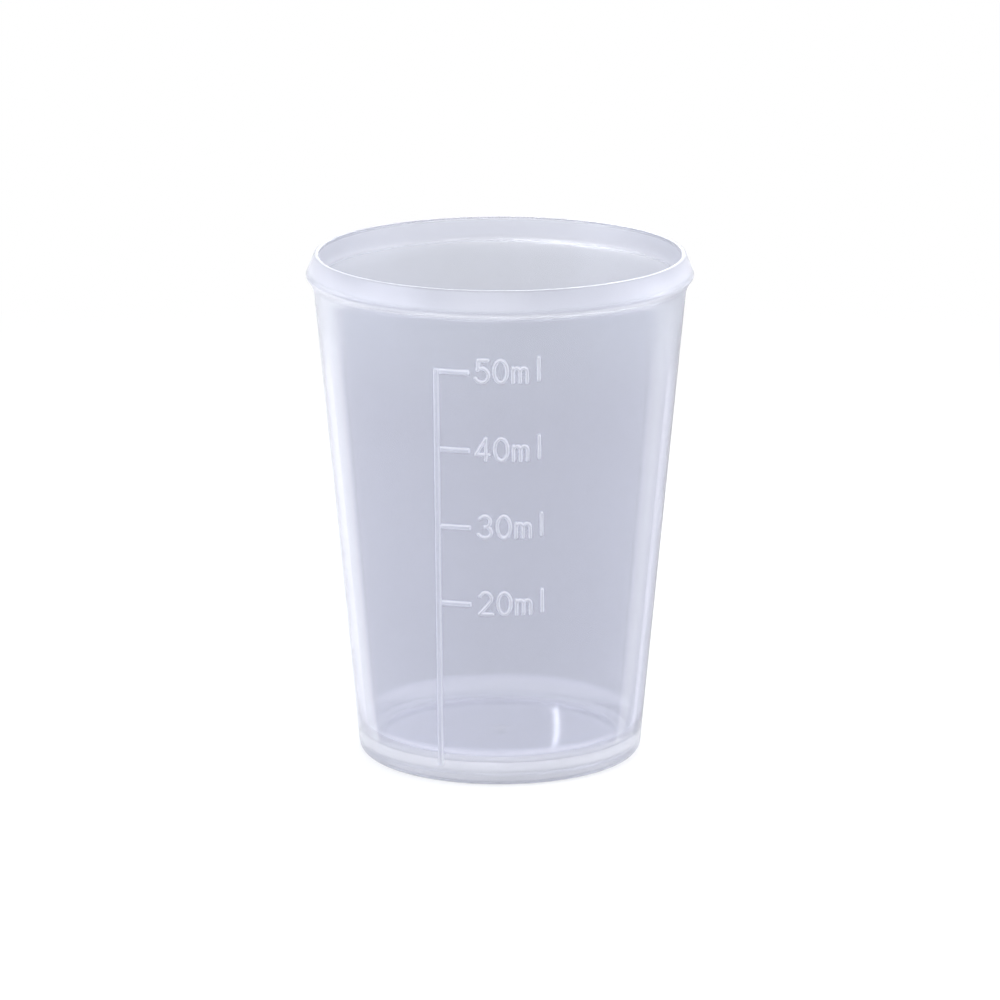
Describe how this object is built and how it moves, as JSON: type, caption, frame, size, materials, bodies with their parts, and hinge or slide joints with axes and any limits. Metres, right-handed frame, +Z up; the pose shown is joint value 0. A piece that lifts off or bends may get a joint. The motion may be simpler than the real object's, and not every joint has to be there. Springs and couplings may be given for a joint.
{
  "type": "measuring cup",
  "caption": "Small tapered measuring cup in milky translucent plastic, with a raised millilitre scale on its front, a lid bead under its lip and a foot ring.",
  "frame": {"origin": "centre of the foot ring on the table", "axes": "+Z up along the cup's axis, towards the mouth; -Y towards the scale; +X to the right of someone who reads it"},
  "size_m": [0.046, 0.046, 0.061],
  "materials": {
    "milky_plastic": "natural polypropylene, milky and slightly bluish, satin gloss, translucent in a 1 mm wall",
    "scale_relief": "the same moulding standing proud of the wall, a little paler where it is thicker"
  },
  "bodies": {
    "root": {"foot_ring": "milky_plastic", "base_floor": "milky_plastic", "side_wall": "milky_plastic", "rim_bead": "milky_plastic", "scale_line": "scale_relief", "tick_50ml": "scale_relief", "tick_40ml": "scale_relief", "tick_30ml": "scale_relief", "tick_20ml": "scale_relief", "gate_mark": "milky_plastic"}
  },
  "joints": []
}
